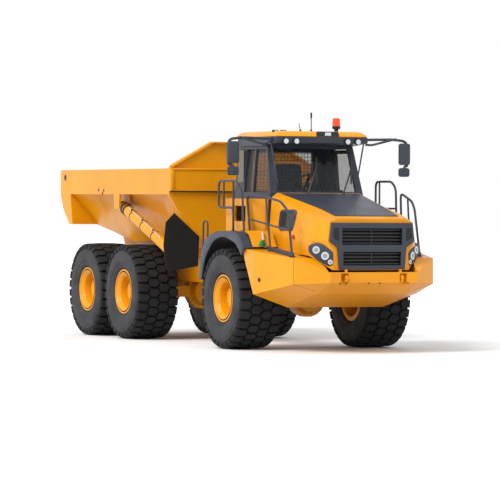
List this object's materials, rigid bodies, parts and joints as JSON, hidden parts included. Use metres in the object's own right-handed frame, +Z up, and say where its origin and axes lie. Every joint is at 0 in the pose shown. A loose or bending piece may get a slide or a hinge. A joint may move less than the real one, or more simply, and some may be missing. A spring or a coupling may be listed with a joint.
{
  "type": "articulated dump truck",
  "caption": "Articulated six-wheel dump truck with a cab, a sloping hood, a steering and oscillating joint and a tipping body.",
  "frame": {"origin": "on the ground at the middle of the overall length and width", "axes": "+X forward, +Y to the operator's left, +Z up"},
  "size_m": [9.932, 3.22, 3.79],
  "materials": {
    "body_yellow": "satin paint",
    "dark_grey": "satin paint",
    "cylinder_yellow": "satin paint",
    "chrome_rod": "polished",
    "glass": "clear",
    "rubber": "matte",
    "seat_fabric": "woven",
    "beacon_amber": "clear amber",
    "tyre": "matte",
    "rim_yellow": "satin paint"
  },
  "bodies": {
    "tractor": {"front_frame": "body_yellow", "steering_plate": "body_yellow", "front_axle": "body_yellow", "engine_block": "dark_grey", "front_bumper": "body_yellow", "side_box_right": "body_yellow", "side_box_left": "body_yellow", "mudguard_right": "dark_grey", "mudguard_left": "dark_grey", "cab_shell": "dark_grey", "cab_roof": "body_yellow", "windscreen": "glass", "rear_glass": "glass", "side_glass_front": "glass", "side_glass_rear": "glass", "operator_seat": "seat_fabric", "dashboard": "dark_grey", "side_cover_right": "body_yellow", "handrail_right": "dark_grey", "handrail_left": "dark_grey", "mirror_right": "dark_grey", "mirror_left": "dark_grey", "beacon": "beacon_amber"},
    "hood": {"hood": "body_yellow", "grille": "dark_grey", "headlamp_right": "body_yellow", "headlamp_left": "body_yellow"},
    "door": {"cab_door": "dark_grey", "door_glass": "glass"},
    "yoke": {"hitch_yoke": "body_yellow"},
    "rear_unit": {"rear_frame": "body_yellow", "mid_axle": "body_yellow", "rear_axle": "body_yellow", "bogie_beam_right": "body_yellow", "bogie_beam_left": "body_yellow"},
    "dump_body": {"bin": "body_yellow", "mud_flap_right": "rubber", "mud_flap_left": "rubber"},
    "wheel_front_right": {"tyre_front_right": "tyre", "rim_front_right": "rim_yellow"},
    "wheel_front_left": {"tyre_front_left": "tyre", "rim_front_left": "rim_yellow"},
    "wheel_mid_right": {"tyre_mid_right": "tyre", "rim_mid_right": "rim_yellow"},
    "wheel_mid_left": {"tyre_mid_left": "tyre", "rim_mid_left": "rim_yellow"},
    "wheel_rear_right": {"tyre_rear_right": "tyre", "rim_rear_right": "rim_yellow"},
    "wheel_rear_left": {"tyre_rear_left": "tyre", "rim_rear_left": "rim_yellow"},
    "hoist_barrel_right": {"hoist_barrel_right": "cylinder_yellow"},
    "hoist_rod_right": {"hoist_rod_right": "chrome_rod"},
    "hoist_barrel_left": {"hoist_barrel_left": "cylinder_yellow"},
    "hoist_rod_left": {"hoist_rod_left": "chrome_rod"},
    "steer_barrel_right": {"steer_barrel_right": "cylinder_yellow"},
    "steer_rod_right": {"steer_rod_right": "chrome_rod"},
    "steer_barrel_left": {"steer_barrel_left": "cylinder_yellow"},
    "steer_rod_left": {"steer_rod_left": "chrome_rod"}
  },
  "joints": [
    {"name": "steering", "type": "hinge", "parent": "tractor", "child": "yoke", "pos_m": [1.165, 0, 1], "axis": [0, 0, 1], "range_deg": [-42, 42]},
    {"name": "oscillation", "type": "hinge", "parent": "yoke", "child": "rear_unit", "pos_m": [0.665, 0, 1], "axis": [1, 0, 0], "range_deg": [-15, 15]},
    {"name": "bin_tip", "type": "hinge", "parent": "rear_unit", "child": "dump_body", "pos_m": [-3.735, 0, 1.42], "axis": [0, -1, 0], "range_deg": [0, 70]},
    {"name": "hood_open", "type": "hinge", "parent": "tractor", "child": "hood", "pos_m": [4.89, 0, 1.29], "axis": [0, 1, 0], "range_deg": [0, 60]},
    {"name": "door_open", "type": "hinge", "parent": "tractor", "child": "door", "pos_m": [1.941, 0.85, 2.6], "axis": [0, 0, 1], "range_deg": [0, 80]},
    {"name": "wheel_spin_front_right", "type": "hinge", "parent": "tractor", "child": "wheel_front_right", "pos_m": [2.465, -1.13, 0.805], "axis": [0, 1, 0], "continuous": true},
    {"name": "wheel_spin_front_left", "type": "hinge", "parent": "tractor", "child": "wheel_front_left", "pos_m": [2.465, 1.13, 0.805], "axis": [0, 1, 0], "continuous": true},
    {"name": "wheel_spin_mid_right", "type": "hinge", "parent": "rear_unit", "child": "wheel_mid_right", "pos_m": [-1.716, -1.13, 0.805], "axis": [0, 1, 0], "continuous": true},
    {"name": "wheel_spin_mid_left", "type": "hinge", "parent": "rear_unit", "child": "wheel_mid_left", "pos_m": [-1.716, 1.13, 0.805], "axis": [0, 1, 0], "continuous": true},
    {"name": "wheel_spin_rear_right", "type": "hinge", "parent": "rear_unit", "child": "wheel_rear_right", "pos_m": [-3.386, -1.13, 0.805], "axis": [0, 1, 0], "continuous": true},
    {"name": "wheel_spin_rear_left", "type": "hinge", "parent": "rear_unit", "child": "wheel_rear_left", "pos_m": [-3.386, 1.13, 0.805], "axis": [0, 1, 0], "continuous": true},
    {"name": "hoist_swing_right", "type": "hinge", "parent": "rear_unit", "child": "hoist_barrel_right", "pos_m": [-0.115, -1.24, 1.5], "axis": [0, -1, 0], "range_deg": [-2.66, 0.5]},
    {"name": "hoist_stroke_right", "type": "slide", "parent": "hoist_barrel_right", "child": "hoist_rod_right", "axis": [-0.9439, 0, 0.3304], "range_m": [0, 1.89532]},
    {"name": "hoist_swing_left", "type": "hinge", "parent": "rear_unit", "child": "hoist_barrel_left", "pos_m": [-0.115, 1.24, 1.5], "axis": [0, -1, 0], "range_deg": [-2.66, 0.5]},
    {"name": "hoist_stroke_left", "type": "slide", "parent": "hoist_barrel_left", "child": "hoist_rod_left", "axis": [-0.9439, 0, 0.3304], "range_m": [0, 1.89532]},
    {"name": "steer_swing_right", "type": "hinge", "parent": "tractor", "child": "steer_barrel_right", "pos_m": [2.065, -0.48, 0.88], "axis": [0, 0, 1], "range_deg": [-1.5, 1.5]},
    {"name": "steer_stroke_right", "type": "slide", "parent": "steer_barrel_right", "child": "steer_rod_right", "axis": [-0.9965, 0.083, 0], "range_m": [-0.2705, 0.2705]},
    {"name": "steer_swing_left", "type": "hinge", "parent": "tractor", "child": "steer_barrel_left", "pos_m": [2.065, 0.48, 0.88], "axis": [0, 0, 1], "range_deg": [-1.5, 1.5]},
    {"name": "steer_stroke_left", "type": "slide", "parent": "steer_barrel_left", "child": "steer_rod_left", "axis": [-0.9965, -0.083, 0], "range_m": [-0.2705, 0.2705]}
  ],
  "couplings": [
    {"joint": "hoist_swing_right", "follows": "bin_tip", "ratio": -0.030814},
    {"joint": "hoist_stroke_right", "follows": "bin_tip", "m_per_rad": 1.5509},
    {"joint": "hoist_swing_left", "follows": "bin_tip", "ratio": -0.030814},
    {"joint": "hoist_stroke_left", "follows": "bin_tip", "m_per_rad": 1.5509},
    {"joint": "steer_swing_right", "follows": "steering", "ratio": 0.0277},
    {"joint": "steer_stroke_right", "follows": "steering", "m_per_rad": -0.368},
    {"joint": "steer_swing_left", "follows": "steering", "ratio": 0.0277},
    {"joint": "steer_stroke_left", "follows": "steering", "m_per_rad": 0.368}
  ]
}
